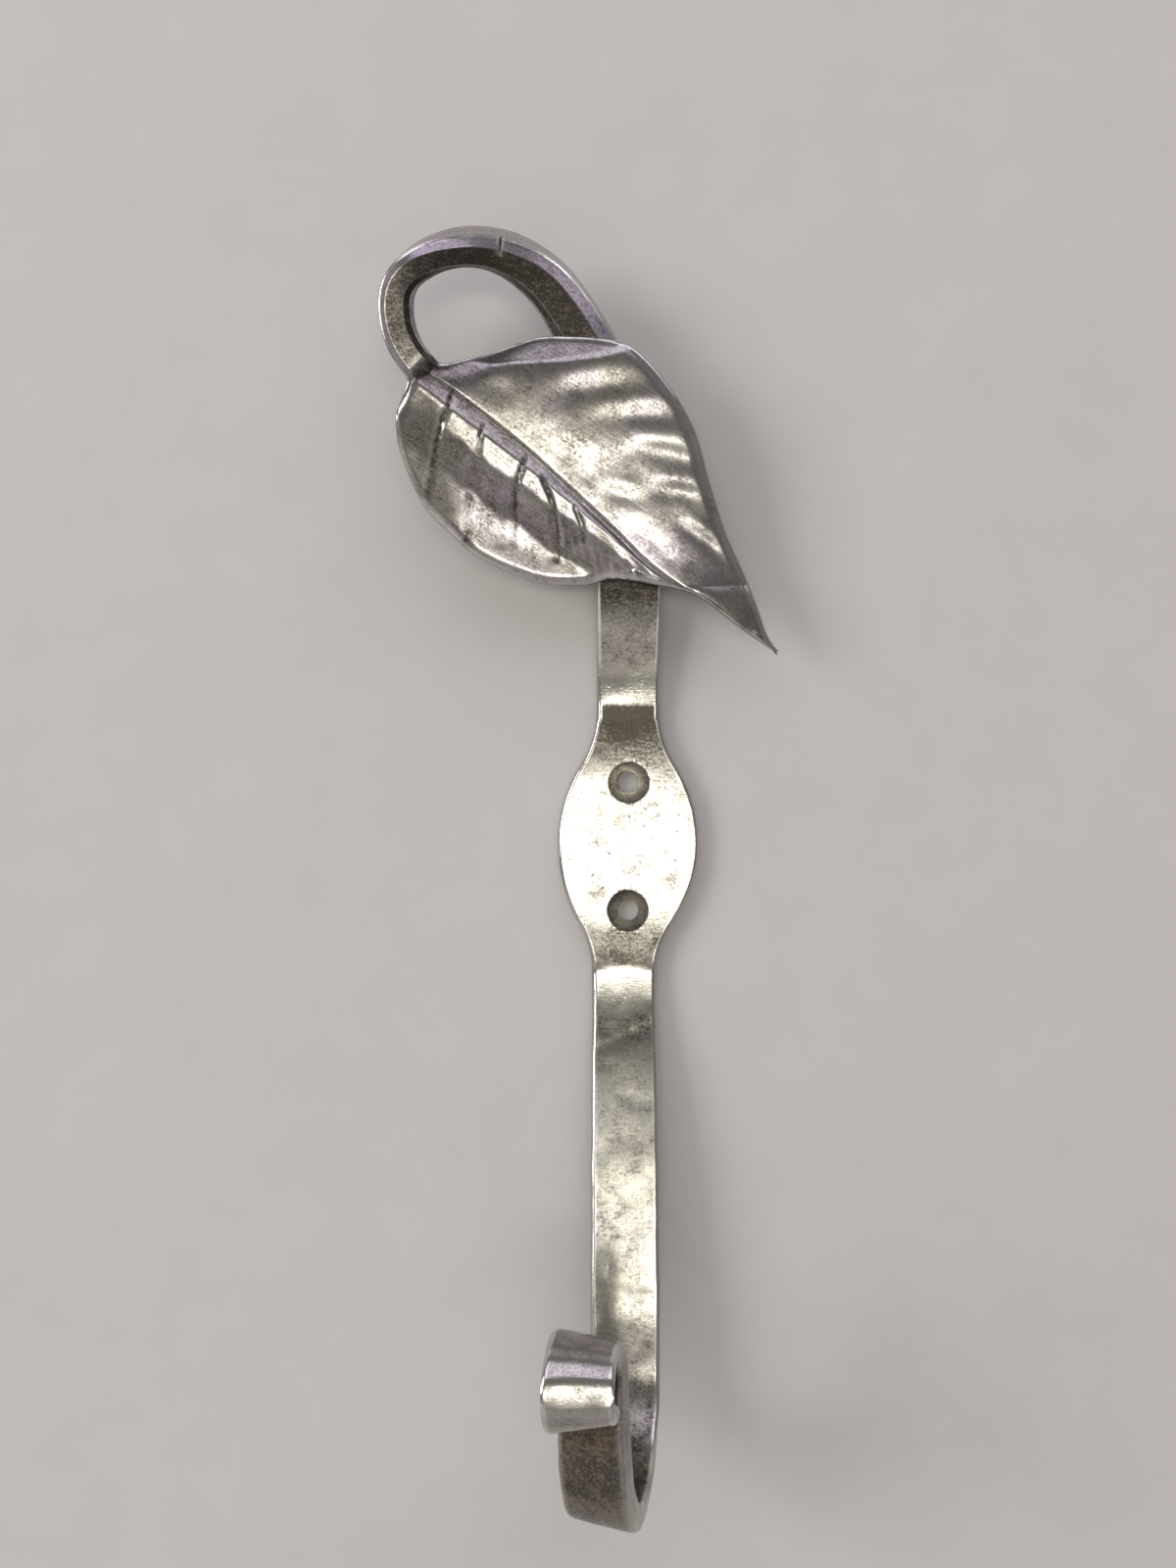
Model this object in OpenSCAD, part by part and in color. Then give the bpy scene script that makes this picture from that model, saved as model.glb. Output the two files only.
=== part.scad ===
/* [Wall plate] */
// Thickness of the wall plate
plate_t = 3.2; // [2:0.1:5]
// Width of the oval swell at its widest
plate_w = 27.6; // [24:0.2:30]
// Height of the widest point above the middle of the screw holes
plate_mid = 0.6; // [-2:0.1:3]
// Distance from the screw-hole middle up to the bend into the neck
plate_top = 29.2; // [27:0.1:34]
// Distance from the screw-hole middle down to the bend into the bar
plate_bottom = 28; // [26:0.1:34]
// Radius of each side of the oval swell
swell_r = 29; // [24:0.5:34]
// Radius of the fillets that run from the swell into the bar
waist_r = 20; // [8:0.5:22]
// Drop of the swell's centre line toward the viewer's left, at the lower bend
plate_drift = 0.8; // [0:0.1:2]

/* [Screw holes] */
// Distance between the two screw holes
hole_pitch = 25.4; // [22:0.1:30]
// Diameter of the through hole
hole_d = 4.2; // [3:0.1:5]
// Diameter of the countersink at the face
sink_d = 8.2; // [6:0.1:9.5]
// Included angle of the countersink
sink_angle = 90; // [80:1:100]

/* [Neck and loop] */
// Outward lean of the neck and of the leaf above the plate
neck_lean = 8.5; // [4:0.5:12]
// Length of the straight neck above the plate
neck_len = 35.2; // [30:0.2:40]
// Width of the neck
neck_w = 12.3; // [9:0.1:15]
// Thickness of the neck
neck_t = 5; // [4:0.1:6.5]
// Radius of the long sweep that starts the loop
sweep_r = 67.6; // [58:0.2:78]
// Turn of the long sweep
sweep_turn = 37; // [34:0.5:40]
// Radius of the loop's right shoulder
shoulder_r = 21; // [17:0.2:26]
// Turn of the loop's right shoulder
shoulder_turn = 27.7; // [24:0.1:31]
// Radius of the loop's crown
crown_r = 17.1; // [14:0.1:20]
// Turn of the loop's crown
crown_turn = 70.4; // [66:0.1:74]
// Radius of the tight bend on the loop's left side
return_r = 8.3; // [7:0.1:10]
// Turn of the tight bend
return_turn = 39.6; // [36:0.1:43]
// Radius of the stem that runs down into the leaf
stem_r = 15.6; // [13:0.2:19]
// Turn of the stem
stem_turn = 57; // [53:0.5:61]
// Width of the drawn bar at the end of the long sweep
shoulder_w = 9.4; // [8:0.1:11]
// Thickness of the drawn bar at the end of the long sweep
shoulder_t = 7; // [5.5:0.1:8]
// Width of the drawn bar at the crown
crown_w = 6.6; // [5.5:0.1:8]
// Thickness of the drawn bar at the crown
crown_t = 6.4; // [5.5:0.1:7.5]
// Width of the stem
stem_w = 6.4; // [5:0.1:7.4]
// Thickness of the stem
stem_t = 6.2; // [4.5:0.1:7]
// Roll of the bar at its shoulder, inner side toward the viewer
shoulder_roll = 18; // [0:1:25]
// Roll of the bar at the crown, inner side toward the viewer
crown_roll = 40; // [0:1:45]
// Bevel on the bar's corners
bar_bevel = 1.4; // [0.8:0.1:2]
// Distance that the loop carries the leaf forward of the neck
leaf_lift = 7; // [6.5:0.1:10]

/* [Leaf] */
// Length of the leaf from the stem to the tip
leaf_len = 83; // [74:0.5:92]
// Reach of the leaf above its rib, toward the upper right
leaf_reach = 28.4; // [24:0.2:31]
// Reach of the leaf below its rib, toward the lower left
leaf_belly = 20.6; // [17:0.2:23]
// Thickness of the leaf at its edge
leaf_edge_t = 1.8; // [1.4:0.1:2.4]
// Thickness of the leaf beside the rib
leaf_t = 2.6; // [2:0.1:3.2]
// Height of the raised rib
rib_h = 1.1; // [0.5:0.1:1.6]
// Half-width of the raised rib
rib_half = 1.3; // [0.8:0.1:2]
// Depth of the hollow in the lower-left half
belly_dish = 1.6; // [0.5:0.1:1.8]
// Forward flare of the lower-left edge
belly_flare = 1.6; // [0:0.1:2.5]
// Height of the folds between the veins
fold_h = 0.45; // [0:0.05:0.7]
// Distance between neighbouring veins
vein_pitch = 6.3; // [5:0.1:8]
// Backward roll of the leaf's top margin
margin_roll = 1.5; // [0:0.1:1.8]

/* [Lower bar] */
// Outward lean of the bar below the plate
bar_lean = 8; // [5:0.5:11]
// Length of the straight bar
bar_len = 70.5; // [60:0.5:80]
// Width of the bar at the plate
bar_top_w = 12.7; // [10:0.1:15]
// Width of the bar at its middle
bar_w = 13.6; // [10:0.1:15]
// Thickness of the bar
bar_t = 5.2; // [4:0.1:6]

/* [Hook and curl] */
// Centre-line radius of the hook bend
hook_r = 19.4; // [15:0.2:25]
// Turn of the hook bend
hook_turn = 172; // [165:1:180]
// Skew of the hook bend across the bar
hook_skew = 9.5; // [0:0.5:14]
// Length of the straight leg between the hook and the curl
leg_len = 11; // [6:0.5:16]
// Width of the leg
leg_w = 12; // [9:0.1:14]
// Centre-line radius of the curl at its start
curl_r = 6.4; // [5.4:0.1:8]
// Centre-line radius of the curl at its end
curl_end_r = 4.6; // [4:0.1:6]
// Turn of the curl
curl_turn = 285; // [180:5:300]
// Skew of the curl against the leg
curl_skew = 9; // [0:0.5:16]
// Width of the curl
curl_w = 12; // [10:0.1:15]
// Thickness of the curl at its end
curl_end_t = 2.8; // [2:0.1:3.4]
// Radius of the bar's eased corners
corner_r = 0.9; // [0.5:0.1:1.4]

/* [Hidden] */
steel = [0.47, 0.46, 0.44];
bend_r = 4; // Centre-line radius of the bends at the plate's two ends
seat = 2.5; // Length by which the bars run on inside the plate
plate_steps = 56; // Number of steps up each side of the plate
bore_over = 1; // Length by which a cutting tool runs past a face
leaf_half = 8; // Columns of points on each half of the leaf and stem
step_len = 2.8; // Greatest spacing of the rings along a bar
leaf_step = 1.9; // Spacing of the rings along the leaf
lobe_len = 3; // Length over which the stem spreads into the leaf's lobes
rib_off = 0.6; // Distance of the rib from the line of the stem
rib_share = 0.74; // Share of the leaf's length that the rib runs
sweep_max = 50; // Sweep of the veins past the foot of the leaf, in degrees
fan_len = 30; // Length of rib over which the veins fan out
margin_from = 0.72; // Share of the reach at which the rolled margin starts
margin_len = 10; // Length of rib along which the top margin is rolled
bevel_from = 0.66; // Share of the half-width at which the bar's bevel starts

// ---- smooth curve through a few [position, value] pairs ----
function slope(p, i) =
    let (a = p[max(i - 1, 0)], b = p[min(i + 1, len(p) - 1)])
    (b[1] - a[1]) / (b[0] - a[0]);
function hermite(a, b, ma, mb, x) =
    let (w = b[0] - a[0], t = (x - a[0]) / w, k = 1 - t)
    a[1] * k * k * (1 + 2 * t) + b[1] * t * t * (3 - 2 * t) + w * t * k * (ma * k - mb * t);
function curve(p, x, i = 0) =
    x <= p[0][0] ? p[0][1] :
    i >= len(p) - 1 ? p[len(p) - 1][1] :
    x > p[i + 1][0] ? curve(p, x, i + 1) :
    hermite(p[i], p[i + 1], slope(p, i), slope(p, i + 1), x);
function ease(x) = let (t = min(max(x, 0), 1)) t * t * (3 - 2 * t);

// ---- bends: a placement is [point, along, across, out], a leg is [radius or length, turn, skew] ----
function bent(f, r, turn, skew) =
    let (
        axis = cos(skew) * f[2] + sin(skew) * f[3],
        inward = cos(skew) * f[3] - sin(skew) * f[2],
        swung = cos(turn) * inward - sin(turn) * f[1]
    )
    [
        f[0] + r * sign(turn) * ((1 - cos(turn)) * inward + sin(turn) * f[1]),
        cos(turn) * f[1] + sin(turn) * inward,
        cos(skew) * axis - sin(skew) * swung,
        sin(skew) * axis + cos(skew) * swung
    ];
function leg_length(leg) = leg[1] == 0 ? leg[0] : leg[0] * abs(leg[1]) * PI / 180;
function placed(f, leg, share) =
    leg[1] == 0 ? [f[0] + leg[0] * share * f[1], f[1], f[2], f[3]] : bent(f, leg[0], leg[1] * share, leg[2]);
function rings(f, legs, step, s = 0, i = 0) =
    i == len(legs) ? [[s, f]] :
    let (n = max(1, ceil(leg_length(legs[i]) / step)))
    concat(
        [for (k = [0 : n - 1]) [s + leg_length(legs[i]) * k / n, placed(f, legs[i], k / n)]],
        rings(placed(f, legs[i], 1), legs, step, s + leg_length(legs[i]), i + 1)
    );
function total(legs, upto, i = 0) = i == upto ? 0 : leg_length(legs[i]) + total(legs, upto, i + 1);
function spot(f, p) = f[0] + p[0] * f[2] + p[1] * f[3] + (len(p) > 2 ? p[2] : 0) * f[1];

// ---- skin over rings that all have the same number of points ----
module skin(loops) {
    n = len(loops[0]);
    last = len(loops) - 1;
    walls = [
        for (i = [0 : last - 1], j = [0 : n - 1])
        let (a = i * n + j, b = i * n + (j + 1) % n)
        each [[a, a + n, b], [b, a + n, b + n]]
    ];
    caps = [
        for (j = [0 : n / 2 - 2], tri = [[j, j + 1, n - 1 - j], [j + 1, n - 2 - j, n - 1 - j]])
        each [tri, [for (k = [2 : -1 : 0]) last * n + tri[k]]]
    ];
    polyhedron([for (l = loops) each l], concat(walls, caps));
}

// ---- wall plate ----
swell_half = plate_w / 2 - neck_w / 2;
// Height above the widest point at which the swell meets the waist fillet, both arcs tangent
blend_dx = swell_r + waist_r - swell_half;
blend_dz = sqrt(pow(swell_r + waist_r, 2) - pow(blend_dx, 2));
meet_dz = blend_dz * swell_r / (swell_r + waist_r);
function plate_half(z) =
    let (d = abs(z - plate_mid))
    d < meet_dz ? plate_w / 2 - swell_r + sqrt(pow(swell_r, 2) - d * d) :
    d < blend_dz ? neck_w / 2 + waist_r - sqrt(pow(waist_r, 2) - pow(blend_dz - d, 2)) :
    neck_w / 2;
function plate_shift(z) = -plate_drift * ease((plate_mid - z) / (plate_mid + plate_bottom));
plate_levels = [
    for (k = [0 : plate_steps]) -plate_bottom + (plate_top + plate_bottom) * k / plate_steps
];

module wall_plate() {
    rotate([90, 0, 0])
        linear_extrude(plate_t)
            polygon(concat(
                [for (z = plate_levels) [plate_shift(z) + plate_half(z), z]],
                [for (k = [plate_steps : -1 : 0])
                    let (z = plate_levels[k]) [plate_shift(z) - plate_half(z), z]]
            ));
}

module screw_hole() {
    sink_depth = (sink_d - hole_d) / 2 / tan(sink_angle / 2);
    rotate([90, 0, 0]) {
        translate([0, 0, -bore_over])
            cylinder(h = plate_t + 2 * bore_over, d = hole_d, $fn = 48);
        translate([0, 0, plate_t - sink_depth])
            cylinder(h = sink_depth, d1 = hole_d, d2 = sink_d, $fn = 48);
        translate([0, 0, plate_t])
            cylinder(h = neck_t, d = sink_d, $fn = 48);
    }
}

// ---- neck, loop and leaf: one bar drawn out and spread ----
loop_legs = [
    [sweep_r, sweep_turn, 90],
    [shoulder_r, shoulder_turn, 90],
    [crown_r, crown_turn, 90],
    [return_r, return_turn, 90],
    [stem_r, stem_turn, 90]
];
upper_start = [[0, -plate_t / 2, plate_top - seat], [0, 0, 1], [1, 0, 0], [0, -1, 0]];
upper_legs = concat([[seat, 0, 0], [bend_r, neck_lean, 0], [neck_len, 0, 0]], loop_legs);
s_neck = total(upper_legs, 3);
s_shoulder = total(upper_legs, 4);
s_crown = total(upper_legs, 6) - crown_r * crown_turn * PI / 360;
s_stem = total(upper_legs, 7);
s_leaf = total(upper_legs, 8);

// Edges of the leaf across the line of its rib: [share of the length, share of the reach]
upper_edge = [
    [-0.036, 0.12], [0, 0.12], [0.04, 0.25], [0.075, 0.39], [0.13, 0.64], [0.18, 0.77],
    [0.27, 0.94], [0.33, 0.98], [0.44, 0.93], [0.54, 0.82], [0.64, 0.62], [0.74, 0.43],
    [0.84, 0.28], [0.9, 0.18], [0.96, 0.07], [1, 0.03]
];
lower_edge = [
    [-0.036, 0.165], [-0.024, 0.24], [-0.008, 0.45], [0.014, 0.57], [0.042, 0.68], [0.095, 0.82],
    [0.17, 0.96], [0.25, 1], [0.33, 1.01], [0.42, 0.93], [0.5, 0.8], [0.565, 0.59],
    [0.6, 0.4], [0.7, 0.17], [0.78, 0.04], [0.9, 0.02], [1, -0.01]
];
function mix(a, b, k) = a * (1 - k) + b * k;
function spread(s) = ease((s - s_leaf + lobe_len) / lobe_len);
function along_leaf(s) = (s - s_leaf) / leaf_len;
function stem_half(s) = curve([
    [0, neck_w / 2], [s_neck, neck_w / 2], [s_shoulder, shoulder_w / 2], [s_crown, crown_w / 2],
    [s_stem, stem_w / 2], [s_leaf, stem_w / 2]
], s);
function bar_thick(s) = curve([
    [0, plate_t], [seat, plate_t], [3 * seat, neck_t], [s_neck, neck_t], [s_shoulder, shoulder_t],
    [s_crown, crown_t], [s_stem, stem_t], [s_leaf, stem_t]
], s);
function edge_low(s) = mix(stem_half(s), curve(lower_edge, along_leaf(s)) * leaf_belly, spread(s));
function edge_high(s) = -mix(stem_half(s), curve(upper_edge, along_leaf(s)) * leaf_reach, spread(s));
function rib_at(s) = let (a = edge_high(s), b = edge_low(s)) min(-rib_off * spread(s), b - (b - a) / 5);
function roll(s) = curve([[0, 0], [s_neck, 0], [s_shoulder, shoulder_roll], [s_crown, crown_roll],
    [s_stem, 0], [s_leaf, 0]], s);
function lift(s) = (min(bar_thick(s), neck_t) - plate_t) / 2
    + leaf_lift * ease((s - s_shoulder) / (s_stem - s_shoulder));

// Sweep of a vein away from square to the rib, fanning out from the leaf's foot
function vein_sweep(s) = sweep_max * ease((s - s_leaf) / fan_len);
// Reach of the vein that starts at s, out to the leaf's edge, by halving the span that holds it
function reach(s, upper, lo = 0, hi = 2 * leaf_reach, n = 16) =
    let (
        m = (lo + hi) / 2,
        e = s + m * tan(vein_sweep(s)),
        w = abs((upper ? edge_high(e) : edge_low(e)) - rib_at(s))
    )
    n == 0 ? m : w > m ? reach(s, upper, m, hi, n - 1) : reach(s, upper, lo, m, n - 1);

// Height of the leaf's middle surface a share q of the way out along the vein that starts at s
function leaf_relief(s, upper, q, d) =
    let (
        x = s - s_leaf,
        fade = ease((leaf_len - x) / (leaf_len / 3)),
        folds = fold_h * cos(360 * x / vein_pitch) * ease(q * 2.5) * fade,
        rib = rib_h * ease((rib_half * 2 - d) / rib_half) * ease((leaf_len * rib_share - x) / vein_pitch),
        dish = belly_dish * sin(180 * q) * fade,
        flare = belly_flare * pow(q, 3) * fade * ease(x / fan_len * 2),
        margin = margin_roll * pow(max(q - margin_from, 0) / (1 - margin_from), 2) * ease(2 - x / margin_len)
    )
    rib + folds + (upper ? -margin - dish / 3 : flare - dish);

// One ring: across from edge to edge in front, and back again behind
function upper_ring(s) =
    let (
        k = spread(s), r = rib_at(s), t = bar_thick(s), c = min(bar_bevel, t / 4), slant = tan(vein_sweep(s)),
        front = [
            for (i = [-leaf_half : leaf_half])
            let (
                v = abs(i) / leaf_half, upper = i < 0,
                d = v * (s < s_leaf ? abs((upper ? edge_high(s) : edge_low(s)) - r) : reach(s, upper)),
                bevel = c * max(0, v - bevel_from) / (1 - bevel_from),
                half = mix(t / 2 - bevel, mix(leaf_t, leaf_edge_t, v) / 2, k)
            )
            [r + sign(i) * d, k * leaf_relief(s, upper, v, d), half, d * slant]
        ]
    )
    concat(
        [for (p = front) rolled(p[0], p[1] + p[2], p[3], s)],
        [for (i = [2 * leaf_half : -1 : 0]) let (p = front[i]) rolled(p[0], p[1] - p[2], p[3], s)]
    );
function rolled(u, w, ahead, s) =
    [u * cos(roll(s)) - w * sin(roll(s)), u * sin(roll(s)) + w * cos(roll(s)) + lift(s), ahead];

module leaf_stem() {
    bar = rings(upper_start, upper_legs, step_len);
    base = bar[len(bar) - 1];
    near = [for (g = bar) if (g[0] < s_leaf - lobe_len) g];
    lobe = [for (x = [-lobe_len : lobe_len / 5 : lobe_len]) stem_or_leaf(x, base)];
    blade = [for (x = [lobe_len + leaf_step : leaf_step : leaf_len - leaf_step / 2]) stem_or_leaf(x, base)];
    all_rings = concat(near, lobe, blade, [stem_or_leaf(leaf_len, base)]);
    skin([for (g = all_rings) [for (p = upper_ring(g[0])) spot(g[1], p)]]);
}
// Placement a distance x past the foot of the leaf, negative on the stem's last bend
function stem_or_leaf(x, base) =
    let (leg = [stem_r, x / stem_r * 180 / PI, 90])
    [s_leaf + x, x < 0 ? back_along(base[1], leg) : placed(base[1], [x, 0, 0], 1)];
function back_along(f, leg) =
    let (turn = leg[1], c = f[0] - leg[0] * f[2])
    [
        c + leg[0] * (cos(turn) * f[2] + sin(turn) * f[1]),
        cos(turn) * f[1] - sin(turn) * f[2],
        cos(turn) * f[2] + sin(turn) * f[1],
        f[3]
    ];

// ---- bar, hook and curl ----
lower_legs = [
    [seat, 0, 0], [bend_r, bar_lean, 0], [bar_len, 0, 0], [hook_r, hook_turn, hook_skew], [leg_len, 0, 0],
    [curl_r, -curl_turn / 2, curl_skew], [curl_end_r, -curl_turn / 2, curl_skew]
];
lower_start = [[-plate_drift, -plate_t / 2, seat - plate_bottom], [0, 0, -1], [1, 0, 0], [0, -1, 0]];
s_bar = total(lower_legs, 3);
s_leg = total(lower_legs, 4);
s_curl = total(lower_legs, 5);
s_end = total(lower_legs, 7);
function lower_half(s) = curve([
    [0, bar_top_w / 2], [seat, bar_top_w / 2], [s_bar / 2, bar_w / 2], [s_bar, bar_w / 2],
    [s_leg, leg_w / 2], [s_curl, leg_w / 2], [(s_curl + s_end) / 2, curl_w / 2], [s_end, curl_w / 2]
], s);
function lower_thick(s) = curve([
    [0, plate_t], [seat, plate_t], [3 * seat, bar_t], [s_leg, bar_t],
    [s_curl, mix(bar_t, curl_end_t, 0.25)], [s_end, curl_end_t]
], s);
// Rectangle with eased corners, four points to a corner
function eased(a, b, r) = [
    for (c = [[1, 1, 0], [-1, 1, 90], [-1, -1, 180], [1, -1, 270]], k = [0 : 3])
    [c[0] * (a - r) + r * cos(c[2] + 30 * k), c[1] * (b - r) + r * sin(c[2] + 30 * k)]
];
module lower_bar() {
    skin([
        for (g = rings(lower_start, lower_legs, step_len))
        let (b = lower_thick(g[0]) / 2)
        [
            for (p = eased(lower_half(g[0]), b, min(corner_r, b / 2)))
            spot(g[1], [p[0], p[1] + b - plate_t / 2])
        ]
    ]);
}

module hook() {
    color(steel)
        difference() {
            union() {
                wall_plate();
                leaf_stem();
                lower_bar();
            }
            for (z = [-hole_pitch / 2, hole_pitch / 2])
                translate([0, 0, z])
                    screw_hole();
        }
}

hook();
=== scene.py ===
import math

import bmesh
import bpy
import numpy as np
from bpy.props import FloatProperty, FloatVectorProperty, IntProperty, PointerProperty
from mathutils import Color, Matrix, Vector, noise


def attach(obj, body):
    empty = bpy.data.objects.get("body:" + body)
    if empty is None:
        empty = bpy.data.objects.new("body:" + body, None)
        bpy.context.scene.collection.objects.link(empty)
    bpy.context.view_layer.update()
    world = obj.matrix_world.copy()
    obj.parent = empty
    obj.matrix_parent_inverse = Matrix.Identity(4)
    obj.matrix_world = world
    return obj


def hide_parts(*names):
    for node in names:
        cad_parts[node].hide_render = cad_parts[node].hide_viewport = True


bl_info = {
    "name": "Forged Leaf Coat Hook",
    "version": (1, 0, 0),
    "blender": (4, 5, 0),
    "location": "View3D > Sidebar > Coat Hook",
    "description": "Builds a hand-forged coat hook with a leaf, its steel finish and a plain stage",
    "category": "Object",
}

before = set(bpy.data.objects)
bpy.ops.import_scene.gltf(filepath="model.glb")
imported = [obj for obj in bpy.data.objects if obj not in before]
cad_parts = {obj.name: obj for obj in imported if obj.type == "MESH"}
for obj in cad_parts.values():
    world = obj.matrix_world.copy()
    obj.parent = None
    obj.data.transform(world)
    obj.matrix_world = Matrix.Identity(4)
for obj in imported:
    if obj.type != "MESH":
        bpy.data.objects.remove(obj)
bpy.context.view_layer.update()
MM = 0.001


# ---------------------------------------------------------------- settings
def length(name, text, mm, low, high):
    return FloatProperty(
        name=name, description=text, default=mm * MM, min=low * MM, max=high * MM, unit="LENGTH", precision=5
    )


def angle(name, text, degrees, low, high):
    return FloatProperty(
        name=name, description=text, default=math.radians(degrees), min=math.radians(low),
        max=math.radians(high), unit="ROTATION",
    )


def colour(name, text, rgb):
    return FloatVectorProperty(
        name=name, description=text, default=rgb, size=3, subtype="COLOR", min=0, max=1
    )


def power(name, text, watts):
    return FloatProperty(name=name, description=text, default=watts, min=0, unit="POWER")


class PlateSettings(bpy.types.PropertyGroup):
    thick: length("Thickness", "Thickness of the wall plate", 3.2, 2, 5)
    width: length("Width", "Width of the oval swell", 27.6, 24, 30)
    mid: length("Widest point", "Height of the widest point", 0.6, -2, 3)
    top: length("Upper bend", "Height at which the neck starts to bend out", 25.2, 25, 30)
    bottom: length("Lower bend", "Drop at which the bar starts to bend out", 24, 24, 30)
    swell: length("Swell radius", "Radius of each side of the oval", 29, 24, 34)
    waist: length("Waist radius", "Radius of the fillets into the bars", 20, 8, 22)
    drift: length("Drift", "Sideways drift of the lower end", 0.8, 0, 2)
    pitch: length("Hole pitch", "Distance between the screw holes", 25.4, 22, 30)
    hole: length("Hole", "Diameter of the through hole", 4.2, 3, 5)
    sink: length("Countersink", "Diameter of the countersink", 8.2, 6, 9.5)


class LoopSettings(bpy.types.PropertyGroup):
    lean: angle("Lean", "Outward lean of the neck", 8.5, 4, 12)
    neck: length("Neck", "Length of the straight neck", 28.2, 26, 36)
    neck_w: length("Neck width", "Width of the neck", 12.3, 9, 15)
    neck_t: length("Neck thickness", "Thickness of the neck", 5, 4, 6.5)
    shoulder_w: length("Shoulder width", "Width of the bar at its shoulder", 9.4, 8, 11)
    shoulder_t: length("Shoulder thickness", "Thickness of the bar at its shoulder", 7, 5.5, 8)
    crown_w: length("Crown width", "Width of the bar at the crown", 6.6, 5.5, 8)
    crown_t: length("Crown thickness", "Thickness of the bar at the crown", 6.4, 5.5, 7.5)
    stem_w: length("Stem width", "Width of the stem", 6.4, 5, 7.4)
    stem_t: length("Stem thickness", "Thickness of the stem", 6.2, 4.5, 7)
    shoulder_roll: angle("Shoulder roll", "Roll of the bar at its shoulder", 18, 0, 25)
    crown_roll: angle("Crown roll", "Roll of the bar at the crown", 40, 0, 45)
    bevel: length("Bevel", "Bevel on the bar's corners", 1.4, 0.8, 2)
    lift: length("Lift", "Distance the loop carries the leaf forward", 7, 6.5, 10)


class LeafSettings(bpy.types.PropertyGroup):
    length: length("Length", "Length of the leaf", 83, 74, 92)
    reach: length("Reach", "Reach of the upper half", 28.4, 24, 31)
    belly: length("Belly", "Reach of the lower half", 20.6, 17, 23)
    edge_t: length("Edge", "Thickness at the edge", 1.7, 1.4, 2.4)
    thick: length("Thickness", "Thickness beside the rib", 2.5, 2, 3.2)
    rib_h: length("Rib height", "Height of the raised rib", 1.0, 0.5, 1.6)


class BarSettings(bpy.types.PropertyGroup):
    lean: angle("Lean", "Outward lean of the bar", 8, 5, 11)
    length: length("Length", "Length of the straight bar", 64.2, 56, 76)
    top_w: length("Upper width", "Width of the bar at the plate", 12.7, 10, 15)
    width: length("Width", "Width of the bar at its middle", 13.6, 10, 15)
    thick: length("Thickness", "Thickness of the bar", 5.2, 4, 6)
    hook_r: length("Hook radius", "Centre-line radius of the hook", 19.4, 15, 25)
    hook_turn: angle("Hook turn", "Turn of the hook bend", 172, 165, 180)
    hook_skew: angle("Hook skew", "Skew of the hook bend", 9.5, 0, 14)
    leg: length("Leg", "Length of the straight leg", 11, 6, 16)
    leg_w: length("Leg width", "Width of the leg", 12, 9, 14)
    curl_r: length("Curl start", "Radius of the curl at its start", 6.4, 5.4, 8)
    curl_end: length("Curl end", "Radius of the curl at its end", 4.6, 4, 6)
    curl_turn: angle("Curl turn", "Turn of the curl", 285, 180, 300)
    curl_skew: angle("Curl skew", "Skew of the curl", 9, 0, 16)
    curl_w: length("Curl width", "Width of the curl", 12, 10, 15)
    curl_t: length("Curl thickness", "Thickness of the curl's end", 2.8, 2, 3.4)


class FinishSettings(bpy.types.PropertyGroup):
    steel: colour("Steel", "Colour of the brushed steel", (0.465, 0.45, 0.395))
    # The patina colour is also the colour of the painted shade and the painted dark reflections
    patina: colour("Patina", "Colour of the dark film in the hollows", (0.050, 0.043, 0.034))
    rust: colour("Brown", "Colour of the brown specks", (0.085, 0.058, 0.036))
    scale: colour("Scale", "Colour of the tan blotches on the leg", (0.165, 0.12, 0.078))
    # The temper tint is a faint random colour, and on the loop's outer side a painted lilac reflection
    temper_and_sheen: colour("Temper tint", "Faint temper colour on polished parts", (0.46, 0.42, 0.46))
    hammer: length("Hammer marks", "Depth of the hammer marks", 0.22, 0, 0.5)
    seed: IntProperty(name="Seed", description="Seed of the hammer marks", default=7, min=0)


class StageSettings(bpy.types.PropertyGroup):
    board: colour("Board", "Colour of the board behind the hook", (0.55, 0.53, 0.50))
    key: power("Key", "Power of the soft key light", 48.0)
    glow: power("Glow", "Power of the wider light round the key", 16.0)
    window: power("Window", "Power of the large window light", 60.0)
    side: power("Side", "Power of the smaller side light", 38.0)
    sky: FloatProperty(name="Sky", description="Strength of the plain surroundings", default=0.22, min=0)


def ease(x):
    t = min(max(x, 0.0), 1.0)
    return t * t * (3 - 2 * t)


def mix(a, b, k):
    return a * (1 - k) + b * k


def curve(pairs, x):
    """Smooth value at x through a few (position, value) pairs."""
    if x <= pairs[0][0]:
        return pairs[0][1]
    if x >= pairs[-1][0]:
        return pairs[-1][1]
    i = next(k for k in range(len(pairs) - 1) if x <= pairs[k + 1][0])

    def slope(k):
        a, b = pairs[max(k - 1, 0)], pairs[min(k + 1, len(pairs) - 1)]
        return (b[1] - a[1]) / (b[0] - a[0])

    (x0, a), (x1, b) = pairs[i], pairs[i + 1]
    w = x1 - x0
    t = (x - x0) / w
    k = 1 - t
    return a * k * k * (1 + 2 * t) + b * t * t * (3 - 2 * t) + w * t * k * (slope(i) * k - slope(i + 1) * t)


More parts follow.
